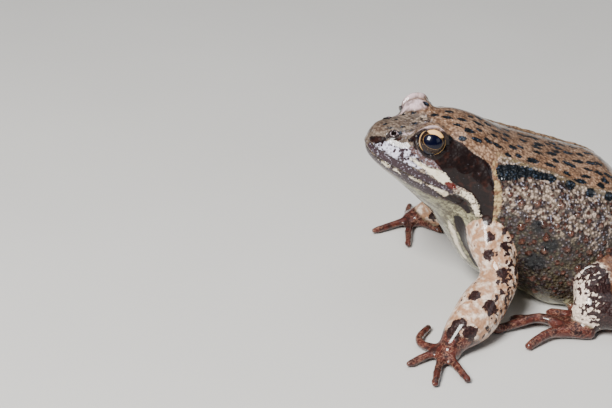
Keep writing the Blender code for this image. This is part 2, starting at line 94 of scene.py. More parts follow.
JAW_SPOTS = (((23.4, 4.0, -1.7, 0.4), (22.8, 4.6, -1.6, 0.4)),
             ((21.6, 5.4, -1.5, 0.4), (20.6, 6.2, -1.6, 0.5)),
             ((18.6, 7.5, -1.4, 0.6), (17.8, 8.0, -2.0, 0.5)),
             ((15.2, 9.4, -1.4, 0.3), (12.6, 10.7, -1.6, 0.3)),
             ((10.4, 11.6, -1.5, 0.5), (8.2, 12.3, -1.8, 0.7), (6.4, 12.5, -2.2, 0.9)))
UNDER_EYE = ((17.4, 8.8, 5.2, 0.9), (15.0, 10.2, 4.9, 1.3), (12.0, 11.4, 4.4, 1.2), (9.6, 12.2, 4.2, 1.0))
JAW_SHADE = ((7.6, 12.0, -3.6, 0.7), (4.6, 12.8, -2.8, 1.1), (1.6, 13.6, -3.2, 1.2), (-0.4, 14.3, -4.4, 0.7))
RUST_SPOT = ((7.0, 13.0, 1.0, 0.7), (5.6, 13.4, 0.5, 0.8), (4.4, 13.6, 0.4, 0.5))
NOSTRIL = (21.4, 4.1, 6.1)
EARDRUM = (4.7, 12.6, 6.8)
EARDRUM_RADIUS = 2.4
# Painted highlight along the ridge from the nostril to the eye.
CANTHUS_PALE = ((20.4, 4.4, 6.9, 0.5), (18.4, 5.2, 7.8, 0.6), (17.2, 5.6, 8.9, 0.3))
# The pale front of the far eye's lid, on the right side alone: pale skin with a painted highlight.
FAR_LID = ((16.8, -5.8, 10.0, 1.1), (15.6, -5.0, 11.8, 1.7), (13.8, -4.6, 12.8, 1.5))
# The line between the head's top and its sides: forward and up.
CROWN_LINE = ((26.0, 3.6), (21.5, 6.9), (17.0, 8.8), (13.0, 10.6), (9.5, 10.8), (4.4, 10.0), (1.3, 9.2),
              (-0.6, 7.2), (-2.9, 4.2))

# Lines on the trunk, as (x, distance from the midline, z).
BACK_FOLD = ((0.6, 10.8, 41.4), (5.9, 11.0, 38.8), (9.3, 11.5, 37.2), (16.5, 11.8, 34.6), (22.1, 13.2, 32.0),
             (25.7, 13.4, 30.6), (30.1, 12.9, 29.4), (38.0, 11.0, 25.8), (46.0, 8.6, 20.6), (53.0, 5.2, 15.6))
FOLD_BLOTCH = ((3.6, 13.8, 36.8, 2.3), (7.2, 13.1, 36.5, 1.8), (10.1, 12.9, 35.8, 1.3),
               (12.6, 12.9, 35.0, 1.2), (15.4, 12.9, 34.2, 1.2))
# Dark spots in a row just below the fold: where the first is, how far apart, how many, how wide.
FOLD_SPOT_START, FOLD_SPOT_STEP, FOLD_SPOT_COUNT, FOLD_SPOT_RADIUS = 20.0, 5.0, 3, 1.3
# Dark shades down the flank, staggered, and smaller towards the top.
SIDE_SHADES = tuple(
    ((11.0 + 3.5 * (step % 2), 20.0, 15.0 + 5.0 * step, 2.5 - 0.5 * step),) for step in range(3))
SHOULDER_STRIP = ((1.4, 12.6, 39.0, 0.6), (0.9, 14.6, 36.6, 0.9), (1.6, 16.4, 32.4, 1.0),
                  (1.5, 17.0, 28.6, 0.9), (0.6, 17.2, 26.0, 0.7))
# The dark band where the chest meets the front of the arm: painted shade.
CHEST_SHADE = ((-6.6, 11.8, 23.4, 1.4), (-6.0, 12.4, 21.0, 1.9), (-4.6, 12.9, 17.6, 2.1),
               (-3.0, 13.3, 14.4, 1.9), (-1.3, 12.3, 9.9, 1.2))
CHEST_CREAM = ((-8.0, 9.0, 21.4, 0.8), (-7.4, 9.4, 19.0, 1.1), (-6.0, 9.0, 14.7, 1.1), (-4.2, 9.8, 11.4, 0.8))
# Blotches down the outside of the left arm, in two staggered rows, larger towards the hand.
ARM_BLOTCHES = 10
ARM_BLOTCH_SMALLEST, ARM_BLOTCH_LARGEST = 1.0, 2.1
ARM_STAGGER = 3.0
ARM_OUTWARD = (0.0, -5.0, 2.5)
KNEE_PALE = ((24.0, 25.0, 13.0, 4.5), (22.0, 28.6, 9.4, 5.5), (21.0, 31.0, 5.0, 5.0))

# The eye, in mm from the middle of its front: the pupil's half width and height, and two rings.
PUPIL_WIDE, PUPIL_TALL = 2.3, 1.65
IRIS_EDGE, OUTER_RING = 2.75, 3.12
CORNEA_RISE, CORNEA_START, CORNEA_SPAN = 0.045, 0.55, 0.45

# The studio. A light is its name, place in m, width, height, watts and tone.
LIGHTS = (("key", (-0.32, -0.36, 0.54), 0.2, 0.3, 10.2, (1.0, 0.98, 0.95)),
          ("sky", (0.08, 0.16, 0.75), 0.6, 0.6, 1.4, (0.9, 0.95, 1.0)),
          ("side", (0.5, -0.45, 0.35), 0.35, 0.35, 0.5, (0.85, 0.92, 1.0)))
LIGHTS_AIM = (0.0, 0.0, 0.02)
WORLD_TONE, WORLD_STRENGTH = (0.75, 0.77, 0.8, 1.0), 0.11
FLOOR_RADIUS, FLOOR_SIDES = 3.0, 96
# The camera's lens, distance and aim are a least-squares fit's output. Its aim is in the frog's frame, in mm.
CAMERA_LENS, CAMERA_SENSOR, CAMERA_NEAREST = 83.28, 36.0, 0.01
CAMERA_TURN, CAMERA_RISE = math.radians(-5.5), math.radians(28.5)
CAMERA_AWAY, CAMERA_AIM = 352.97, (-43.23, -1.465, 24.07)

FLESH = ("head", "trunk") + tuple(
    f"{part}_{word}" for word in WORDS.values()
    for part in ("upper_arm", "forearm", "hand", "thigh", "shank", "tarsus", "foot"))


def head_frame():
    """Takes (forward, sideways, up) on the head to the frog's own axes. Sideways is positive on the left."""
    axes = Matrix(((-1, 0, 0), (0, -1, 0), (0, 0, 1))).to_4x4()
    pitch = Matrix.Rotation(HEAD_PITCH, 4, "Y")
    yaw = Matrix.Rotation(HEAD_YAW, 4, "Z")
    roll = Matrix.Rotation(HEAD_ROLL, 4, "X")
    return Matrix.Translation(JAW_JOINT) @ yaw @ pitch @ roll @ axes


def sight(side, tilt, lead):
    """A direction on the head, tilted up from straight out to a side and led forwards."""
    return Vector((math.sin(lead) * math.cos(tilt), -side * math.cos(lead) * math.cos(tilt), math.sin(tilt)))


def eye_centre(side):
    forward, across, up = EYE_PLACE
    out = sight(side, EYE_TILT, EYE_LEAD) * EYE_STANDS_OUT
    return head_frame() @ (Vector((forward, -side * across, up)) + out)


def eye_axes(side):
    """The way that an eye looks, the way forwards across it and the way up it."""
    turn = head_frame().to_3x3()
    look = (turn @ sight(side, LOOK_UP, LOOK_AHEAD)).normalized()
    ahead = turn @ Vector((1, 0, 0.12))
    ahead = (ahead - look * ahead.dot(look)).normalized()
    above = look.cross(ahead) * side
    return look, ahead, above if above.z > 0 else -above


def box_centre(node):
    low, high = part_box(node)
    return (low + high) / 2


SHIFT = np.array(box_centre("eye_left") / MM - eye_centre(LEFT))


def in_frog(metres):
    """Places in the frame, in metres, as mm in the frog's own frame."""
    return np.asarray(metres, float) / MM - SHIFT


def in_frame(frog):
    return (np.asarray(frog, float) + SHIFT) * MM


def on_head(frog):
    """Frog places as (forward, sideways, up) on the head."""
    back = np.array(head_frame().inverted())
    return frog @ back[:3, :3].T + back[:3, 3]


# Sculpting on arrays of places.

def both_sides(places):
    """Places with what lies right of the midline laid over the left."""
    folded = places.copy()
    folded[:, 1] = np.abs(folded[:, 1])
    return folded


def inside(places, line):
    """How deep each place lies inside a line that has a thickness: below 0 is outside it."""
    rows = [np.array(row, float) if len(row) == 4 else np.array((*row, 0.0)) for row in line]
    if len(rows) == 1:
        rows = rows * 2
    deep = np.full(len(places), -1e9)
    for start, end in zip(rows[:-1], rows[1:]):
        way = end[:3] - start[:3]
        from_start = places - start[:3]
        share = np.clip(from_start @ way / max(way @ way, 1e-9), 0, 1)
        gap = np.linalg.norm(from_start - share[:, None] * way, axis=1)
        deep = np.maximum(deep, start[3] + share * (end[3] - start[3]) - gap)
    return deep


def swell(places, line, width):
    """1 on a line, falling to 0 within about two widths of it."""
    return np.exp(-(inside(places, line) / width) ** 2)


def ease(value, low, high):
    """0 below low, 1 above high, and smooth between."""
    share = np.clip((value - low) / (high - low), 0, 1)
    return share * share * (3 - 2 * share)


def mesh_arrays(mesh):
    """Places in the frog's frame, normals, and the two ends of each edge."""
    count = len(mesh.vertices)
    places, normals = np.empty(count * 3), np.empty(count * 3)
    mesh.vertices.foreach_get("co", places)
    mesh.vertex_normals.foreach_get("vector", normals)
    ends = np.empty(len(mesh.edges) * 2, int)
    mesh.edges.foreach_get("vertices", ends)
    return in_frog(places.reshape(-1, 3)), normals.reshape(-1, 3), ends.reshape(-1, 2)


def put_places(mesh, frog):
    mesh.vertices.foreach_set("co", in_frame(frog).ravel())
    mesh.update()


def averaged(values, ends):
    """Each vertex's value as the mean of its neighbours'."""
    heads, tails = np.concatenate((ends, ends[:, ::-1])).T
    count = len(values)
    touching = np.maximum(np.bincount(heads, minlength=count), 1)
    if values.ndim == 1:
        return np.bincount(heads, values[tails], count) / touching
    sums = [np.bincount(heads, values[tails, k], count) for k in range(values.shape[1])]
    return np.stack(sums, 1) / touching[:, None]


def evened(places, ends, rounds, share=1.0):
    """Smooths without shrinking: what smoothing takes away is itself smoothed and given back."""
    pull = 0.5 * np.broadcast_to(share, len(places))[:, None]

    def softened(values):
        for _ in range(rounds):
            values = values + pull * (averaged(values, ends) - values)
        return values

    soft = softened(places)
    return soft + softened(places - soft)


def spread(values, ends, rounds):
    for _ in range(rounds):
        values = 0.5 * (values + averaged(values, ends))
    return values


def tree_of(places):
    tree = kdtree.KDTree(len(places))
    for index, place in enumerate(places):
        tree.insert(place, index)
    tree.balance()
    return tree


def scattered(tree, places, allowed, spacing, draw):
    """Seeded picks among the allowed vertices, each at least its spacing from the others."""
    blocked = ~allowed
    waiting = np.flatnonzero(allowed).tolist()
    draw.shuffle(waiting)
    picks = []
    for index in waiting:
        if blocked[index]:
            continue
        picks.append(index)
        for _, near, _ in tree.find_range(places[index], spacing(index)):
            blocked[near] = True
    return picks


def near_to(tree, place, reach):
    found = tree.find_range(place, reach)
    return np.array([index for _, index, _ in found], int), np.array([gap for _, _, gap in found])


def wobble(places, size, seed):
    """Smooth noise of about -1 to 1, with waves of this size in mm."""
    offset = Vector((seed * 17.3, seed * 5.1, -seed * 9.7))
    return np.array([noise.noise(Vector(place) / size + offset) for place in places])


# The skin.

def flesh_mesh(grow):
    """All the flesh as one mesh, the eyes' sockets filled, pushed out a little so that the pieces touch."""
    bm = bmesh.new()
    for name in FLESH + ("eye_left", "eye_right"):
        bm.from_mesh(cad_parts[name].data)
    bmesh.ops.remove_doubles(bm, verts=bm.verts, dist=1e-6)
    bm.normal_update()
    normals = [v.normal.copy() for v in bm.verts]
    for vertex, normal in zip(bm.verts, normals):
        vertex.co += normal * grow
    mesh = bpy.data.meshes.new("skin")
    bm.to_mesh(mesh)
    bm.free()
    return mesh


def remeshed(obj, voxel):
    blend = obj.modifiers.new("one_skin", "REMESH")
    blend.mode = "VOXEL"
    blend.voxel_size = voxel
    graph = bpy.context.evaluated_depsgraph_get()
    graph.update()
    made = bpy.data.meshes.new_from_object(obj.evaluated_get(graph))
    obj.modifiers.clear()
    obj.data = made


def refine(mesh, chosen):
    """Splits every face whose corners are all chosen, and fits the ones beside them."""
    bm = bmesh.new()
    bm.from_mesh(mesh)
    edges = [e for e in bm.edges if chosen[e.verts[0].index] and chosen[e.verts[1].index]]
    bmesh.ops.subdivide_edges(bm, edges=edges, cuts=1, use_grid_fill=True)
    bm.to_mesh(mesh)
    bm.free()


def fine_region(places):
    """Where the skin has small relief: the head, both flanks and the near arm."""
    head = on_head(places)
    flank = (np.abs(places[:, 1]) > 8) & (places[:, 0] > -2) & (places[:, 0] < 36) & (places[:, 2] > 5)
    flank &= np.abs(places[:, 1]) < 22
    return (head[:, 0] > -4) | flank


def finest_region(places):
    """Where it has the smallest: round the eyes, the nostrils, the eardrums and the mouth."""
    head = both_sides(on_head(places))
    chosen = inside(head, [(*NOSTRIL, 1.6)]) > 0
    chosen |= inside(head, [(*EARDRUM, EARDRUM_RADIUS + 0.6)]) > 0
    chosen |= inside(head, MOUTH) > -0.8
    for side in (LEFT, RIGHT):
        chosen |= np.linalg.norm(places - np.array(eye_centre(side)), axis=1) < 5.8
    return chosen


def part_weights(mesh, ends):
    """For each CAD node, how much each vertex belongs to it."""
    corners, faces, owners = [], [], []
    for number, name in enumerate(FLESH):
        data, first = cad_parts[name].data, len(corners)
        corners.extend(v.co / MM for v in data.vertices)
        faces.extend([first + index for index in face.vertices] for face in data.polygons)
        owners.extend([number] * len(data.polygons))
    tree = BVHTree.FromPolygons(corners, faces)
    nearest = np.array([owners[tree.find_nearest(v.co / MM)[2]] for v in mesh.vertices])
    return {name: spread((nearest == number).astype(float), ends, 6) for number, name in enumerate(FLESH)}


def lidded(places, side, sizes):
    """Opens the skin over an eyeball, with a lid round the opening.

    Returns the places, the distance from the rim in mm, and how much each place belongs to the brow.
    """
    centre = np.array(eye_centre(side))
    look, ahead, above = (np.array(axis) for axis in eye_axes(side))
    out = places - centre
    reach = np.linalg.norm(out, axis=1)
    unit = out / np.maximum(reach, 1e-6)[:, None]
    facing = np.maximum(unit @ look, 1e-3)
    across, up = np.arctan2(unit @ ahead, facing), np.arctan2(unit @ above, facing)
    tall = np.where(up > 0, sizes.opening_up, sizes.opening_down)
    from_rim = (np.sqrt((across / sizes.opening_wide) ** 2 + (up / tall) ** 2) - 1) * EYEBALL_RADIUS
    near = reach < EYEBALL_RADIUS + 3.4
    from_rim = np.where(near & (unit @ look > 0.02), from_rim, 9.0)
    brow = ease(up, 0.1, 0.9)
    lid = EYEBALL_RADIUS + 0.12 + (sizes.lid / MM + 0.35 * brow) * np.exp(-((from_rim - 0.25) / 0.9) ** 2)
    covered = np.where(reach < lid, lid, reach)
    open_reach = np.minimum(reach, EYEBALL_RADIUS - 0.45)
    share = ease(from_rim, -0.14, 0.04)
    wanted = open_reach + share * (covered - open_reach)
    moved = np.where((near & (from_rim < 5))[:, None], centre + unit * wanted[:, None], places)
    over = ease(up, 0.3, 0.9) * ease(across, -0.9, -0.2)
    return moved, from_rim, np.where(from_rim < 5, over, 0.0)


def pit_distances(places):
    """How far each place is from the nearest nostril and from the middle of the nearest eardrum, in mm."""
    folded = both_sides(on_head(places))
    found = []
    for pit in (NOSTRIL, EARDRUM):
        gaps = np.linalg.norm(folded - pit, axis=1)
        found.append(np.linalg.norm(folded - folded[gaps.argmin()], axis=1))
    return found


def relief(places, pits, sizes):
    """How far the folds, ridges, pits and drums stand out of the skin, in mm."""
    folded, sided = both_sides(on_head(places)), both_sides(places)
    amount = sizes.fold / MM * swell(sided, BACK_FOLD, 0.8) * (1 + 0.35 * wobble(places, 1.6, 2))
    amount += 0.35 * swell(folded, TEMPLE_FOLD, 0.6)
    amount += 0.3 * swell(folded, CANTHUS, 0.7)
    amount += 0.75 * ease(inside(folded, JAW_RIDGE), -0.5, 0.6)
    mouth = inside(folded, MOUTH)
    amount -= 0.6 * np.exp(-(mouth / 0.22) ** 2)
    upper_lip = folded - np.array((0.0, 0.0, 0.75))
    amount += 0.28 * swell(upper_lip, MOUTH, 0.6)
    nostril, drum = pits[0], EARDRUM_RADIUS - pits[1]
    amount += 0.06 * np.exp(-(drum / 0.35) ** 2) - 0.08 * ease(drum, 0.2, 0.9) + 0.06 * ease(drum, 1.5, 2.4)
    amount += 0.28 * np.exp(-((nostril - 0.75) / 0.28) ** 2) - 0.7 * (1 - ease(nostril, 0.15, 0.55))
    return amount


def fold_at(x):
    """How far out and how high the fold along the back runs, at each x."""
    rows = np.array(BACK_FOLD).T
    return np.interp(x, rows[0], rows[1]), np.interp(x, rows[0], rows[2])


def add_bumps(places, normals, parts, sizes, draw):
    """The warts of the flanks and thighs, and the low grains of the back.

    Returns the places and the warts' share."""
    tree = tree_of(places)
    sided = both_sides(places)
    fold_y, fold_z = fold_at(places[:, 0])
    flank = (parts["trunk"] > 0.6) & (sided[:, 1] > 8) & (places[:, 2] < fold_z - 1.6) & (places[:, 2] > 4)
    flank &= places[:, 0] > 2.4
    back = (parts["trunk"] > 0.5) & (sided[:, 1] < fold_y + 1)
    back = back & (places[:, 2] > fold_z - 3) & (places[:, 0] > 0)
    legs = (parts["thigh_left"] + parts["thigh_right"] + parts["shank_left"] + parts["shank_right"]) > 0.6
    size = sizes.wart / MM
    lift, wart = np.zeros(len(places)), np.zeros(len(places))
    # Where they are, how far apart, how wide, how tall for their width, and how much they show as warts.
    for allowed, apart, wide, tall, shown in (
        (flank & (places[:, 2] < fold_z - 4.0), (2.3, 4.4), (0.85, 1.8), 0.7, 1.0),
        (flank, (1.1, 2.2), (0.55, 0.9), 0.6, 0.6),
        (back, (2.6, 5.0), (0.8, 1.3), 0.2, 0.0),
        (back, (1.1, 1.9), (0.55, 0.85), 0.16, 0.0),
        (legs, (1.2, 2.4), (0.6, 1.0), 0.22, 0.0),
    ):
        for index in scattered(tree, places, allowed, lambda i: draw.uniform(*apart), draw):
            radius = draw.uniform(*wide) * size
            near, gap = near_to(tree, places[index], radius)
            dome = (1 - (gap / radius) ** 2) ** 1.1
            lift[near] = np.maximum(lift[near], dome * radius * tall)
            wart[near] = np.maximum(wart[near], dome * shown)
    return places + normals * lift[:, None], wart


def spot_field(places, parts, draw):
    """How deep each place lies in a dark spot of the back or the crown, in mm."""
    sided, folded = both_sides(places), both_sides(on_head(places))
    depth = inside(sided, FOLD_BLOTCH)
    for step in range(FOLD_SPOT_COUNT):
        x = FOLD_SPOT_START + step * FOLD_SPOT_STEP
        out, high = fold_at(x)
        depth = np.maximum(depth, inside(sided, [(x, out + 0.8, high - 0.5, FOLD_SPOT_RADIUS)]))
    tree = tree_of(places)
    fold_y, fold_z = fold_at(places[:, 0])
    back = (parts["trunk"] > 0.5) & (sided[:, 1] < fold_y - 1.2) & (places[:, 2] > fold_z - 2)
    crown = (parts["head"] > 0.5) & (folded[:, 2] > 10.6) & (folded[:, 0] < 13) & (folded[:, 1] < 8.5)
    snout = (parts["head"] > 0.5) & (folded[:, 0] > 12) & (folded[:, 1] < 4.4) & (folded[:, 2] > 6.2)
    for allowed, apart, size in (
        (back, (2.4, 3.8), 1.3), (crown, (2.6, 4.0), 1.05), (snout, (1.8, 3.0), 0.65),
    ):
        for index in scattered(tree, places, allowed & (depth < -1.6), lambda i: draw.uniform(*apart), draw):
            long, short = draw.uniform(0.8, 1.5) * size, draw.uniform(0.5, 0.8) * size
            way = np.array(Vector((1.0, draw.uniform(-0.5, 0.5), draw.uniform(-0.6, -0.1))).normalized())
            near, _ = near_to(tree, places[index], long + 1.2)
            off = places[near] - places[index]
            along = off @ way
            beside = np.linalg.norm(off - along[:, None] * way, axis=1)
            deep = (1 - np.sqrt((along / long) ** 2 + (beside / short) ** 2)) * short
            depth[near] = np.maximum(depth[near], deep)
    return depth


def arm_blotches(places, parts):
    """How deep each place lies in one of the left arm's blotches, laid out along the arm's own parts."""
    upper, fore, hand = (
        places[parts[part + "_left"] > 0.6].mean(axis=0) for part in ("upper_arm", "forearm", "hand"))
    stations = (upper * 1.6 - fore * 0.6, upper, fore, hand)
    spans = len(stations) - 1
    surface = places[parts["upper_arm_left"] + parts["forearm_left"] > 0.6]
    depth = np.full(len(places), -1e9)
    for step in range(ARM_BLOTCHES):
        share = (step + 0.5) / ARM_BLOTCHES
        whole = int(share * spans)
        middle = stations[whole] + (stations[whole + 1] - stations[whole]) * (share * spans - whole)
        aim = middle + np.array(ARM_OUTWARD) + (ARM_STAGGER * (-1) ** step, 0.0, 0.0)
        on_skin = surface[np.argmin(np.linalg.norm(surface - aim, axis=1))]
        radius = ARM_BLOTCH_SMALLEST + (ARM_BLOTCH_LARGEST - ARM_BLOTCH_SMALLEST) * share
        depth = np.maximum(depth, inside(places, [(*on_skin, radius)]))
    return depth


def limb_marks(places, parts):
    """How deep each place lies in a dark blotch or bar of the limbs, in mm."""
    left = places[:, 1] < 0
    sided = both_sides(places)
    ragged = 0.7 * wobble(places, 1.3, 4)
    depth = np.where(left, arm_blotches(places, parts) + ragged, -3.0)
    # Small flecks between the blotches, and more of them towards the back of the arm.
    behind = places[:, 0] - (3.4 - 0.55 * (20 - places[:, 2]))
    flecks = 2.2 * wobble(places, 0.9, 8) - 1.1 + 0.9 * ease(behind, -2, 1)
    arms = sum(parts[f"{part}_{word}"] for part in ("upper_arm", "forearm") for word in WORDS.values())
    depth = np.maximum(depth, np.where(arms > 0.3, flecks, -3))
    right_arm = parts["upper_arm_right"] + parts["forearm_right"]
    depth = np.maximum(depth, np.where(right_arm > 0.3, wobble(places, 3.4, 3) * 4.5 - 0.8 + ragged, -3))
    for bars, start, end, part in (
        (3.2, (50, 8, 12), (24, 25, 9), "thigh"),
        (4.0, (23, 27, 6), (58, 20, 4), "shank"),
        (3.0, (59, 18, 3), (32, 24, 2), "tarsus"),
    ):
        way = np.array(end, float) - np.array(start, float)
        share = (sided - np.array(start, float)) @ way / (way @ way)
        wave = np.sin(2 * math.pi * bars * share + 1.4 * wobble(places, 5.0, 7))
        wave = wave + 0.9 * wobble(places, 2.0, 5)
        weight = parts[part + "_left"] + parts[part + "_right"]
        depth = np.maximum(depth, np.where(weight > 0.3, wave * 1.3 - 0.2, -3))
    knee = ease(inside(sided, KNEE_PALE), -1.0, 1.5)
    patches = 2.6 * wobble(places, 0.75, 6) + wobble(places, 2.4, 2)
    patches = patches + ease(sided[:, 0], 18.0, 26.0) * 1.9 - 0.95
    return depth + (patches - depth) * knee


def marking_fields(places, normals, parts, pits, from_rim, brow, wart):
    """Every marking and region as one number per vertex."""
    folded, sided = both_sides(on_head(places)), both_sides(places)
    fold_y, fold_z = fold_at(places[:, 0])
    on_back = np.minimum(fold_y - sided[:, 1], places[:, 2] - fold_z + 2.5) + 8 * ease(places[:, 0], 46, 56)
    crown = np.interp(-folded[:, 0], [-r[0] for r in CROWN_LINE], [r[1] for r in CROWN_LINE])
    on_crown = folded[:, 2] - crown
    share = parts["head"]

    def deepest(frame_places, *lines):
        return np.max([inside(frame_places, line) for line in lines], axis=0)

    chest = ease(-normals[:, 0], 0.1, 0.6) * ease(-places[:, 0], -5, 0)
    under = np.max([ease(-normals[:, 2], 0.4, 1.0), ease(-places[:, 2], -9, -1), chest], axis=0) * (1 - share)
    mouth = inside(folded, MOUTH)
    flesh = {word: sum(parts[n] for n in FLESH if n.startswith(word)) for word in (
        "upper_arm", "forearm", "thigh", "shank", "tarsus", "hand", "foot")}
    return {
        "back": share * on_crown + (1 - share) * on_back,
        "snout": share * ease(folded[:, 0], 12.5, 17.5),
        "low": under + share * ease(-folded[:, 2], 2.5, 6.0),
        "drop": ease(fold_z - places[:, 2], 6.0, 17.0),
        "shade": deepest(sided, *SIDE_SHADES),
        "under_eye": inside(folded, UNDER_EYE),
        # Besides the face's dark mask, this field holds CHEST_SHADE, painted shade between chest and arm.
        "mask": np.max([deepest(folded, MASK, NOSE_STRIPE, BEFORE_EYE, SNOUT_PATCH, JAW_SHADE),
                        inside(sided, CHEST_SHADE), 1.4 - pits[0]], axis=0),
        "lip_dark": deepest(folded, LIP_BAND, JAW_BAND),
        "mottle": inside(folded, LIP_MOTTLE),
        "cream": np.max([deepest(folded, CREAM_STRIPE, *JAW_SPOTS), inside(folded, JAW_RIDGE) - 0.05,
                         inside(sided, CHEST_CREAM)], axis=0),
        # Painted highlights on the ridge before the eye and on each nostril's rim.
        "canthus": np.maximum(inside(folded, CANTHUS_PALE), 0.1 - np.abs(pits[0] - 0.8)),
        "strip": inside(sided, SHOULDER_STRIP),
        "rust": inside(folded, RUST_SPOT),
        "arm": flesh["upper_arm"] + flesh["forearm"],
        "leg": flesh["thigh"] + flesh["shank"] + flesh["tarsus"],
        "knee": inside(sided, KNEE_PALE),
        "digit": flesh["hand"] + flesh["foot"],
        "blotch": limb_marks(places, parts),
        "spot": spot_field(places, parts, random.Random(11)),
        "wart": wart,
        "rim": from_rim + 0.5 * brow,
        # The pale lid over each eye and the far lid's front: pale skin, partly a painted highlight.
        "brow": np.maximum(brow * ease(-from_rim, -2.8, -0.5) * ease(from_rim, 0.0, 0.2),
                           ease(inside(on_head(places), FAR_LID), -0.7, 0.5)),
        # Painted shade in the nostrils' holes and along the mouth's slit.
        "crease": np.maximum(1 - ease(pits[0], 0.3, 0.6), 0.7 * ease(mouth, -0.35, -0.1)),
        "fold": swell(sided, BACK_FOLD, 0.9) * (1 - share),
    }


def keep_fields(mesh, fields):
    for name, values in fields.items():
        held = mesh.attributes.new(name, "FLOAT", "POINT")
        held.data.foreach_set("value", np.asarray(values, np.float32))


# Shader maths.

class Value:
    """A socket of a material. Arithmetic on it adds Math nodes."""

    def __init__(self, paint, socket):
        self.paint, self.socket = paint, socket

    def _math(self, operation, *others):
        sockets = {0: self, **dict(enumerate(others, 1))}
        return self.paint.value("ShaderNodeMath", {"operation": operation}, sockets)

    def __add__(self, other):
        return self._math("ADD", other)

    def __sub__(self, other):
        return self._math("SUBTRACT", other)

    def __mul__(self, other):
        return self._math("MULTIPLY", other)

    def __truediv__(self, other):
        return self._math("DIVIDE", other)

    def __pow__(self, other):
        return self._math("POWER", other)

    __radd__, __rmul__ = __add__, __mul__

    def __rsub__(self, other):
        return self.paint.value("ShaderNodeMath", {"operation": "SUBTRACT"}, {0: other, 1: self})

    def __neg__(self):
        return self * -1.0

    def most(self, other):
        return self._math("MAXIMUM", other)

    def ease(self, low, high):
        """0 below low, 1 above high, smooth between."""
        settings = {"interpolation_type": "SMOOTHSTEP"}
        sockets = {"Value": self, "From Min": low, "From Max": high}
        return self.paint.value("ShaderNodeMapRange", settings, sockets)


class Paint:
    """A material's node tree with one Principled shader."""

    def __init__(self, name):
        self.material = bpy.data.materials.new(name)
        self.material.use_nodes = True
        self.tree = self.material.node_tree
        self.shader = self.tree.nodes["Principled BSDF"]
        self.place = self.node("ShaderNodeTexCoord").outputs["Object"]

    def node(self, kind, settings=None, sockets=None):
        made = self.tree.nodes.new(kind)
        for name, setting in (settings or {}).items():
            setattr(made, name, setting)
        for name, given in (sockets or {}).items():
            self.feed(made.inputs[name], given)
        return made

    def feed(self, socket, given):
        given = given.socket if isinstance(given, Value) else given
        if isinstance(given, bpy.types.NodeSocket):
            self.tree.links.new(given, socket)
        else:
            socket.default_value = given

    def value(self, kind, settings=None, sockets=None, output=0):
        return Value(self, self.node(kind, settings, sockets).outputs[output])

    def field(self, name):
        return self.value("ShaderNodeAttribute", {"attribute_name": name}, output="Fac")

    def noise(self, size, detail=2.0, rough=0.5, warp=0.0):
        """Smooth noise, 0 to 1, with waves of this size in mm."""
        sockets = {"Vector": self.place, "Scale": 1 / (size * MM), "Detail": detail, "Roughness": rough,
                   "Distortion": warp}
        return self.value("ShaderNodeTexNoise", None, sockets, "Fac")

    def grains(self, size):
        """Cells of this size in mm, as the distance from each cell's middle."""
        sockets = {"Vector": self.place, "Scale": 1 / (size * MM), "Smoothness": 0.35}
        return self.value("ShaderNodeTexVoronoi", {"feature": "SMOOTH_F1"}, sockets, "Distance")

    def mix(self, share, low, high):
        made = self.node("ShaderNodeMix", {"data_type": "RGBA"})
        self.feed(made.inputs["Factor"], share)
        for socket, given in ((made.inputs[6], low), (made.inputs[7], high)):
            plain = isinstance(given, (tuple, list)) and len(given) == 3
            self.feed(socket, (*given, 1.0) if plain else given)
        return made.outputs[2]

    def finish(self, base, roughness, height=None, depth=1.0, **constants):
        self.feed(self.shader.inputs["Base Color"], base)
        self.feed(self.shader.inputs["Roughness"], roughness)
        if height is not None:
            sockets = {"Strength": 1.0, "Distance": MM * depth, "Height": height}
            bump = self.node("ShaderNodeBump", None, sockets)
            self.feed(self.shader.inputs["Normal"], bump.outputs["Normal"])
        for name, given in constants.items():
            self.feed(self.shader.inputs[name.replace("_", " ").title().replace("Ior", "IOR")], given)
        return self.material


def colour(settings, name):
    return tuple(getattr(settings, name))


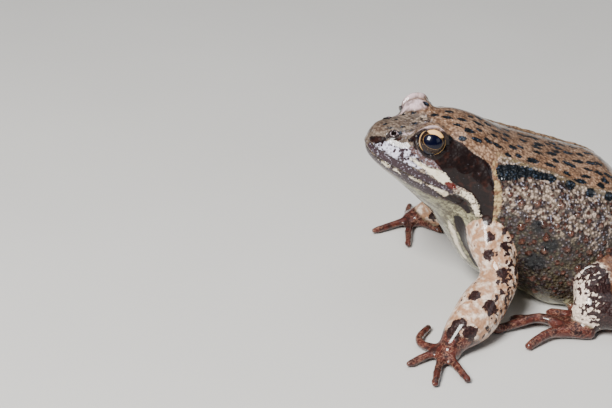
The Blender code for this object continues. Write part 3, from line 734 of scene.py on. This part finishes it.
def skin_material(tints, sizes):
    paint = Paint("wet_frog_skin")
    field = {name: paint.field(name) for name in (
        "back", "snout", "low", "drop", "shade", "under_eye", "mask", "lip_dark", "mottle", "cream",
        "canthus", "strip", "rust", "arm", "leg", "knee", "digit", "blotch", "spot", "wart", "rim", "brow",
        "crease", "fold")}
    c = {name: colour(tints, name) for name in tints.__annotations__}
    cloud, blur, ragged = paint.noise(4.5, 3), paint.noise(1.6, 3), paint.noise(0.5, 2, 0.6)
    grain, fine = paint.grains(sizes.grain / MM), paint.grains(sizes.grain / MM * 0.5)
    edge = (ragged - 0.5) * 1.3 + (blur - 0.5) * 1.1
    # The tips of the grains, and the gaps between them where painted shade goes.
    tip, furrow = 1 - grain.ease(0.1, 0.5), grain.ease(0.35, 0.75)
    fleck = ragged.ease(0.5, 0.72)

    # The ground colours, from the back down to the belly.
    back = paint.mix(cloud.ease(0.38, 0.66), c["back"], c["back_dark"])
    back = paint.mix(field["snout"] * 0.9, back, c["snout"])
    # Painted shade between the grains of the back.
    back = paint.mix(furrow * 0.7, back, c["furrow"])
    # Pale tips of the back's grains: partly pale grains, partly painted wet glints.
    back = paint.mix(tip * fleck * (0.8 - field["snout"] * 0.5), back, c["back_pale"])
    upper = paint.mix(blur.ease(0.4, 0.6), c["flank"], c["flank_dark"])
    # The lower flank: olive, darkened beyond its own colour as painted shade near the ground.
    lower = paint.mix(blur.ease(0.4, 0.62), c["olive"], c["flank_dark"])
    sink = (field["drop"] + (cloud - 0.5) * 1.4).ease(0.2, 0.8)
    flank = paint.mix(sink, upper, lower)
    # Painted shade in the crevices between the grains of the flank.
    flank = paint.mix(grain.ease(0.3, 0.66) * 0.75, flank, c["grime"])
    # Pale grain tips on the flank, mostly painted wet glints, fewer lower down.
    glints = tip * tip * (0.35 + fleck * 0.6) * blur.ease(0.36, 0.6) * (1.0 - sink * 0.75)
    flank = paint.mix(glints, flank, c["flank_pale"])
    # Painted shade in a ring at the foot of each wart.
    wart_foot_shade = field["wart"].ease(0.01, 0.06) * (1 - field["wart"].ease(0.1, 0.3)) * 0.8
    flank = paint.mix(wart_foot_shade, flank, c["grime"])
    wart = paint.mix(field["wart"].ease(0.6, 1.0) * 0.7, c["wart"], c["wart_tip"])
    flank = paint.mix(field["wart"].ease(0.06, 0.25) * (0.7 + cloud.ease(0.38, 0.56) * 0.3), flank, wart)
    flank = paint.mix(field["snout"] * 0.65, flank, c["snout"])
    flank = paint.mix((field["shade"] + edge * 1.3).ease(-0.9, 0.6) * 0.9, flank, c["spot"])
    belly = paint.mix(blur.ease(0.38, 0.58) * 0.9, c["belly"], c["throat_shade"])
    ground = paint.mix((field["low"] + (blur - 0.5) * 0.7).ease(0.3, 0.8), flank, belly)
    ground = paint.mix((field["back"] + edge * 0.7).ease(-0.4, 0.4), ground, back)
    ground = paint.mix(field["fold"] * 0.4 * blur.ease(0.35, 0.6), ground, c["strip"])

    # Arms, legs, fingers and toes.
    arm = paint.mix(blur.ease(0.4, 0.7), c["arm"], c["arm_pale"])
    arm = paint.mix(furrow * 0.2, arm, c["furrow"])
    ground = paint.mix(field["arm"].ease(0.35, 0.65), ground, arm)
    leg = paint.mix(blur.ease(0.42, 0.7) * 0.7, c["leg"], c["arm"])
    leg = paint.mix((field["knee"] + edge * 2.0).ease(-0.6, 1.0), leg, c["arm_pale"])
    leg = paint.mix(furrow * 0.35, leg, c["furrow"])
    ground = paint.mix(field["leg"].ease(0.35, 0.65), ground, leg)
    vein = paint.noise(1.1, 2, 0.5, 0.6)
    lace = 1 - (vein - 0.5).most(0.5 - vein).ease(0.01, 0.05)
    digit = paint.mix(blur.ease(0.4, 0.62), c["digit"], c["digit_dark"])
    digit = paint.mix((lace * cloud.ease(0.36, 0.56) * 0.6).most(tip * fleck * 0.5), digit, c["lace"])
    ground = paint.mix((field["digit"] + edge * 0.7).ease(0.1, 0.85), ground, digit)

    # The face and the pale marks.
    under = paint.mix(fleck * 0.5, c["under_eye"], c["flank_pale"])
    ground = paint.mix((field["under_eye"] + edge).ease(-0.5, 0.5), ground, under)
    speck = paint.grains(0.9).ease(0.3, 0.48)
    mottle = paint.mix(speck * blur.ease(0.42, 0.57), c["lip_brown"], c["lip_pale"])
    ground = paint.mix((field["mottle"] + edge).ease(-0.2, 0.25), ground, mottle)
    lip = paint.mix(ragged.ease(0.56, 0.74) * 0.5, c["lip_brown"], c["lip_pale"])
    ground = paint.mix((field["lip_dark"] + edge * 0.6).ease(-0.15, 0.3), ground, lip)
    strip = paint.mix(blur.ease(0.45, 0.6), c["strip"], c["back_dark"])
    ground = paint.mix((field["strip"] + edge).ease(-0.3, 0.4), ground, strip)
    # The mask's colour, which also covers the painted shade between chest and arm.
    mask = paint.mix(blur.ease(0.48, 0.8), c["mask"], c["mask_brown"])
    # A few pale grain tips on the mask: painted highlights.
    mask = paint.mix(tip * ragged.ease(0.62, 0.8) * 0.2, mask, c["flank_pale"])
    ground = paint.mix((field["mask"] + edge * 0.45).ease(-0.1, 0.12), ground, mask)
    cream = paint.mix(blur.ease(0.5, 0.72) * 0.7, c["cream"], c["strip"])
    ground = paint.mix((field["cream"] + edge * 1.25).ease(-0.12, 0.14), ground, cream)
    # Painted highlights on the ridge before the eye and the nostrils' rims, in the brow's colour.
    ground = paint.mix((field["canthus"] + edge * 0.7).ease(-0.1, 0.2) * 0.65, ground, c["brow"])
    ground = paint.mix((field["rust"] + edge).ease(-0.1, 0.2), ground, c["rust"])
    # The pale lid over each eye: its own pale colour with a painted highlight.
    ground = paint.mix(field["brow"] * (0.35 + blur.ease(0.34, 0.54) * 0.5), ground, c["brow"])

    # The dark marks. The blotches' grains are a little browner; the spots' grains carry painted bluish
    # glints.
    blotch = paint.mix(ragged.ease(0.45, 0.8) * 0.7, c["blotch"], c["blotch_pale"])
    ground = paint.mix((field["blotch"] + edge).ease(-0.1, 0.14), ground, blotch)
    # Bluish tips on the grains of the dark spots: painted reflections of the sky.
    spot = paint.mix(tip * blur.ease(0.42, 0.62) * 0.8, c["spot"], c["spot_pale"])
    ground = paint.mix((field["spot"] + edge).ease(-0.14, 0.12), ground, spot)
    # A dark edge round each eye opening: the lid's dark margin, and painted shade where the lid meets the
    # eyeball.
    ground = paint.mix((1 - field["rim"].ease(0.3, 0.7)) * 0.95, ground, c["mask"])
    # Painted shade in the nostrils' holes and along the mouth's slit.
    ground = paint.mix(field["crease"] * 0.9, ground, c["mask"])

    smooth = field["mask"].ease(-0.4, 0.4).most(1 - field["rim"].ease(1.0, 3.0)).most(
        field["lip_dark"].ease(-0.2, 0.4)).most(field["cream"].ease(-0.2, 0.3))
    coarse = (1 - smooth * 0.85) * (1 - field["arm"] * 0.6)
    coarse = coarse * (1 - field["leg"] * 0.3) * (1 - field["digit"] * 0.75)
    height = (1 - grain) * (0.26 + (1 - field["back"].ease(-0.5, 0.5)) * 0.26) * coarse
    height = height + (1 - fine) * 0.05 * coarse + ragged * 0.04
    height = height + blur * (coarse * 0.4 + field["arm"] * 0.3)
    roughness = 0.35 + blur * 0.15 + field["digit"] * 0.05
    wet = (1 - smooth * 0.35) * sizes.wetness
    return paint.finish(ground, roughness, height, coat_weight=wet, coat_roughness=0.08, coat_ior=1.38,
                        specular_ior_level=0.15)


def eye_material(tints):
    paint = Paint("frog_eye")
    x, y = paint.field("ahead"), paint.field("above")
    c = {name: colour(tints, name) for name in tints.__annotations__}
    fleck = paint.noise(0.35, 3, 0.6)
    from_middle = (x * x + y * y) ** 0.5
    pupil = ((x / PUPIL_WIDE) * (x / PUPIL_WIDE) + (y / PUPIL_TALL) * (y / PUPIL_TALL)) ** 0.5
    upper = (y + (fleck - 0.5) * 0.7 - (x * x) * 0.16).ease(0.95, 1.35)
    iris = paint.mix(fleck.ease(0.55, 0.8) * 0.3, c["iris_dark"], c["iris_gold"])
    iris = paint.mix(upper, iris, c["iris_gold"])
    iris = paint.mix((1 - (pupil - 1.07).most(1.07 - pupil).ease(0.005, 0.035)) * 0.4, iris, c["iris_ring"])
    iris = paint.mix((from_middle + (fleck - 0.5) * 0.1).ease(IRIS_EDGE, 2.9), iris, c["pupil"])
    off_ring = (from_middle - OUTER_RING).most(OUTER_RING - from_middle)
    ring = (1 - off_ring.ease(0.06, 0.15)) * (x * x).ease(1.0, 4.0)
    iris = paint.mix(ring, iris, c["iris_ring"])
    # The pupil's dark blue is a painted reflection of the sky.
    base = paint.mix((1.03 - pupil).ease(0.0, 0.03), iris, c["pupil"])
    return paint.finish(base, 0.3, coat_weight=1.0, coat_roughness=0.02, coat_ior=1.36,
                        specular_ior_level=0.1)


def floor_material():
    paint = Paint("pale_floor")
    tone = paint.noise(60, 2)
    base = paint.mix(tone, (0.62, 0.61, 0.59), (0.68, 0.67, 0.65))
    return paint.finish(base, 0.7)


# Settings.

def tint(name, description, red, green, blue):
    """A colour property whose default is given as it looks on a screen, 0 to 255."""
    linear = [((v / 255 + 0.055) / 1.055) ** 2.4 if v > 10 else v / 255 / 12.92 for v in (red, green, blue)]
    return bpy.props.FloatVectorProperty(name=name, description=description, default=linear, size=3, min=0.0,
                                         max=1.0, subtype="COLOR")


def length(name, description, millimetres):
    return bpy.props.FloatProperty(name=name, description=description, default=millimetres * MM, min=0.0,
                                   soft_max=0.01, precision=5, subtype="DISTANCE", unit="LENGTH")


def angle(name, description, degrees):
    return bpy.props.FloatProperty(name=name, description=description, default=math.radians(degrees), min=0.1,
                                   max=1.5, subtype="ANGLE", unit="ROTATION")


class FrogSizes(bpy.types.PropertyGroup):
    """Sizes of the frog's skin."""
    voxel: length("Skin Cell", "Side of the cells that the skin is built from", 0.775)
    fold: length("Back Fold", "How far the two folds along the back stand out", 0.6)
    wart: length("Wart", "Radius of a middle-sized wart", 0.6)
    grain: length("Grain", "Width of the skin's small grains", 0.72)
    lid: length("Lid", "How far the eyelids stand over the eyeball", 0.4)
    opening_wide: angle("Eye Opening Width", "Half of the eye's opening, front to back", 76.0)
    opening_up: angle("Eye Opening Above", "The eye's opening above the way it looks", 50.0)
    opening_down: angle("Eye Opening Below", "The eye's opening below the way it looks", 64.0)
    wetness: bpy.props.FloatProperty(name="Wetness", description="Share of the film of water on the skin",
                                     default=0.95, min=0.0, max=1.0, subtype="FACTOR")


class FrogTints(bpy.types.PropertyGroup):
    """Colours of the frog's skin."""
    back: tint("Back", "Ground colour of the back", 166, 132, 106)
    back_dark: tint("Back Shade", "Darker clouds of the back", 122, 90, 66)
    # Pale grains of the back, lightened further as painted wet glints.
    back_pale: tint("Back Grains", "Pale tips on the back and its folds", 234, 210, 194)
    snout: tint("Snout", "Top of the snout", 104, 90, 78)
    # Painted shade between the grains of the back and limbs.
    furrow: tint("Furrow", "Dark between the grains of the back and limbs", 60, 40, 32)
    flank: tint("Flank", "Ground colour of the sides", 190, 168, 150)
    flank_dark: tint("Flank Shade", "Dark patches of the sides", 58, 46, 48)
    # Pale grains of the sides, bright enough to stand as painted wet glints.
    flank_pale: tint("Flank Grains", "Pale tips on the sides", 226, 230, 252)
    # Olive of the lower sides, darkened as painted shade near the ground.
    olive: tint("Olive", "Yellow-green of the lower sides", 76, 69, 50)
    # Painted shade in the crevices between the grains of the sides.
    grime: tint("Side Furrow", "Dark between the grains of the sides", 30, 22, 18)
    wart: tint("Wart", "Red-brown warts of the sides", 68, 38, 29)
    wart_tip: tint("Wart Tip", "Paler tips of the warts", 122, 82, 66)
    belly: tint("Belly", "Belly and throat", 158, 154, 122)
    throat_shade: tint("Throat Shade", "Grey-brown clouds of the belly and the throat", 84, 76, 58)
    arm: tint("Limb", "Ground colour of arms and legs", 180, 136, 104)
    arm_pale: tint("Limb Pale", "Pale clouds of arms and legs", 250, 230, 212)
    leg: tint("Leg", "Brown of the legs", 92, 60, 45)
    digit: tint("Digits", "Fingers and toes", 82, 38, 32)
    digit_dark: tint("Digit Shade", "Darker clouds of fingers and toes", 50, 26, 24)
    lace: tint("Digit Lace", "Pale net over fingers and toes", 154, 110, 90)
    # The dark mask's colour, also used for painted shade at the eyes' rims and in the creases.
    mask: tint("Mask", "The mask behind the eye", 19, 8, 8)
    mask_brown: tint("Mask Brown", "Browner parts of the mask", 54, 26, 18)
    under_eye: tint("Under Eye", "Skin between the eye and the lip's stripe", 92, 68, 66)
    lip_pale: tint("Lip Pale", "Pale freckles of the lip", 224, 222, 242)
    lip_brown: tint("Lip Brown", "Dark freckles and edge of the lip", 54, 40, 45)
    cream: tint("Cream", "Stripes of the jaw and the chest", 246, 234, 210)
    strip: tint("Shoulder", "Pale strip behind the mask", 176, 154, 112)
    rust: tint("Rust", "The spot at the corner of the jaw", 92, 30, 22)
    # Pale lid skin, lightened further as a painted highlight.
    brow: tint("Brow", "Smooth skin over the eye", 224, 198, 204)
    blotch: tint("Blotch", "Blotches of arms and legs", 36, 20, 20)
    blotch_pale: tint("Blotch Grains", "Browner grains in the blotches", 84, 56, 52)
    spot: tint("Spot", "Spots of the back", 10, 15, 20)
    # Painted bluish glints, reflections of the sky, on the grains of the spots.
    spot_pale: tint("Spot Grains", "Bluish grains in the spots", 70, 86, 110)


class EyeTints(bpy.types.PropertyGroup):
    """Colours of the eyes."""
    # The blue of this dark is a painted reflection of the sky.
    pupil: tint("Pupil", "The pupil and the eye's dark rim", 1, 3, 26)
    iris_gold: tint("Iris Gold", "The iris above the pupil", 248, 196, 128)
    iris_dark: tint("Iris Dark", "The iris below the pupil", 28, 15, 10)
    iris_ring: tint("Iris Ring", "Fine rings round the pupil and the iris", 180, 144, 94)


# Building.

class FROG_OT_skin(bpy.types.Operator):
    """Build the one skin that covers the frog's solids"""
    bl_idname = "frog.skin"
    bl_label = "Skin"

    def execute(self, context):
        sizes, draw = context.scene.frog_sizes, random.Random(5)
        skin = bpy.data.objects.new("skin", flesh_mesh(grow=0.22 * MM))
        context.scene.collection.objects.link(skin)
        remeshed(skin, sizes.voxel)
        mesh = skin.data
        places, normals, ends = mesh_arrays(mesh)
        parts = part_weights(mesh, ends)
        digits = sum(parts[name] for name in FLESH if name.startswith(("hand", "foot")))
        places = evened(places, ends, 30, 1 - 0.72 * parts["head"] - 0.85 * digits) - 0.2 * normals
        put_places(mesh, places)
        for region, rounds in ((fine_region, 4), (finest_region, 3)):
            chosen = region(mesh_arrays(mesh)[0])
            refine(mesh, chosen)
            places, normals, ends = mesh_arrays(mesh)
            share = spread(region(places).astype(float), ends, 2)
            put_places(mesh, evened(places, ends, rounds, share))
        places, normals, ends = mesh_arrays(mesh)
        parts = part_weights(mesh, ends)
        from_rim = np.full(len(places), 9.0)
        brow = np.zeros(len(places))
        for side in (LEFT, RIGHT):
            places, gap, share = lidded(places, side, sizes)
            from_rim, brow = np.minimum(from_rim, gap), np.maximum(brow, share)
        put_places(mesh, places)
        places, normals, ends = mesh_arrays(mesh)
        pits = pit_distances(places)
        clear = ease(from_rim, 0.3, 1.2)
        places = places + normals * (relief(places, pits, sizes) * clear)[:, None]
        put_places(mesh, places)
        places, normals, ends = mesh_arrays(mesh)
        places, wart = add_bumps(places, normals, parts, sizes, draw)
        places[:, 2] = np.maximum(places[:, 2], 0.02)
        put_places(mesh, places)
        keep_fields(mesh, marking_fields(places, normals, parts, pits, from_rim, brow, wart))
        mesh.shade_smooth()
        mesh.materials.clear()
        mesh.materials.append(skin_material(context.scene.frog_tints, sizes))
        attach(skin, BODY)
        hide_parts(*FLESH)
        return {"FINISHED"}


class FROG_OT_eyes(bpy.types.Operator):
    """Build the two eyeballs"""
    bl_idname = "frog.eyes"
    bl_label = "Eyes"

    def execute(self, context):
        material = eye_material(context.scene.eye_tints)
        for side, word in WORDS.items():
            look, ahead, above = eye_axes(side)
            turn = Matrix((ahead, above, look)).transposed()
            bm = bmesh.new()
            bmesh.ops.create_uvsphere(bm, u_segments=72, v_segments=48, radius=EYEBALL_RADIUS)
            for vertex in bm.verts:
                facing = vertex.co.z / EYEBALL_RADIUS
                vertex.co *= 1 + CORNEA_RISE * max(0.0, facing - CORNEA_START) / CORNEA_SPAN
            across = [v.co.x for v in bm.verts]
            up = [v.co.y for v in bm.verts]
            for index, vertex in enumerate(bm.verts):
                if vertex.co.z < 0:
                    across[index] *= 9 / max(abs(across[index]), 0.5)
            matrix = Matrix.Translation(eye_centre(side)) @ turn.to_4x4()
            bmesh.ops.transform(bm, matrix=matrix, verts=bm.verts)
            for vertex in bm.verts:
                vertex.co = in_frame(vertex.co)
            bmesh.ops.recalc_face_normals(bm, faces=bm.faces)
            mesh = bpy.data.meshes.new("eyeball_" + word)
            bm.to_mesh(mesh)
            bm.free()
            keep_fields(mesh, {"ahead": across, "above": up})
            mesh.shade_smooth()
            mesh.materials.append(material)
            eyeball = bpy.data.objects.new("eyeball_" + word, mesh)
            context.scene.collection.objects.link(eyeball)
            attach(eyeball, BODY)
            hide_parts("eye_" + word)
        return {"FINISHED"}


def soft_light(name, place, aim, width, height, watts, tone):
    data = bpy.data.lights.new(name, "AREA")
    data.shape, data.size, data.size_y, data.energy, data.color = "RECTANGLE", width, height, watts, tone
    lamp = bpy.data.objects.new(name, data)
    lamp.location = place
    lamp.rotation_euler = (Vector(aim) - Vector(place)).to_track_quat("-Z", "Y").to_euler()
    bpy.context.scene.collection.objects.link(lamp)


class FROG_OT_studio(bpy.types.Operator):
    """Lay the floor and set up the light and the camera"""
    bl_idname = "frog.studio"
    bl_label = "Studio"

    def execute(self, context):
        scene = context.scene
        bm = bmesh.new()
        bmesh.ops.create_circle(bm, cap_ends=True, radius=FLOOR_RADIUS, segments=FLOOR_SIDES)
        bmesh.ops.recalc_face_normals(bm, faces=bm.faces)
        mesh = bpy.data.meshes.new("floor")
        bm.to_mesh(mesh)
        bm.free()
        mesh.materials.append(floor_material())
        floor = bpy.data.objects.new("floor", mesh)
        scene.collection.objects.link(floor)
        for name, place, width, height, watts, tone in LIGHTS:
            soft_light(name, place, LIGHTS_AIM, width, height, watts, tone)
        world = bpy.data.worlds.new("studio")
        world.use_nodes = True
        world.node_tree.nodes["Background"].inputs["Color"].default_value = WORLD_TONE
        world.node_tree.nodes["Background"].inputs["Strength"].default_value = WORLD_STRENGTH
        scene.world = world

        data = bpy.data.cameras.new("camera")
        data.lens, data.sensor_width, data.clip_start = CAMERA_LENS, CAMERA_SENSOR, CAMERA_NEAREST
        camera = bpy.data.objects.new("camera", data)
        level = math.cos(CAMERA_RISE)
        back = Vector((math.sin(CAMERA_TURN) * level, -math.cos(CAMERA_TURN) * level, math.sin(CAMERA_RISE)))
        camera.location = in_frame(Vector(CAMERA_AIM) + back * CAMERA_AWAY)
        camera.rotation_euler = (-back).to_track_quat("-Z", "Y").to_euler()
        scene.collection.objects.link(camera)
        scene.camera = camera
        return {"FINISHED"}


class FROG_PT_panel(bpy.types.Panel):
    """The frog's pieces and their settings"""
    bl_idname = "FROG_PT_panel"
    bl_label = "Common Frog"
    bl_space_type = "VIEW_3D"
    bl_region_type = "UI"
    bl_category = "Frog"

    def draw(self, context):
        for operator in OPERATORS:
            self.layout.operator(operator.bl_idname)
        for name in SETTINGS:
            settings = getattr(context.scene, name)
            for prop in settings.__annotations__:
                self.layout.prop(settings, prop)


SETTINGS = {"frog_sizes": FrogSizes, "frog_tints": FrogTints, "eye_tints": EyeTints}
OPERATORS = (FROG_OT_skin, FROG_OT_eyes, FROG_OT_studio)


def register():
    for cls in (*SETTINGS.values(), *OPERATORS, FROG_PT_panel):
        bpy.utils.register_class(cls)
    for name, cls in SETTINGS.items():
        setattr(bpy.types.Scene, name, bpy.props.PointerProperty(type=cls))


def unregister():
    for name in SETTINGS:
        delattr(bpy.types.Scene, name)
    for cls in reversed((*SETTINGS.values(), *OPERATORS, FROG_PT_panel)):
        bpy.utils.unregister_class(cls)


def main():
    register()
    bpy.ops.frog.skin()
    bpy.ops.frog.eyes()
    bpy.ops.frog.studio()


if __name__ == "__main__":
    main()
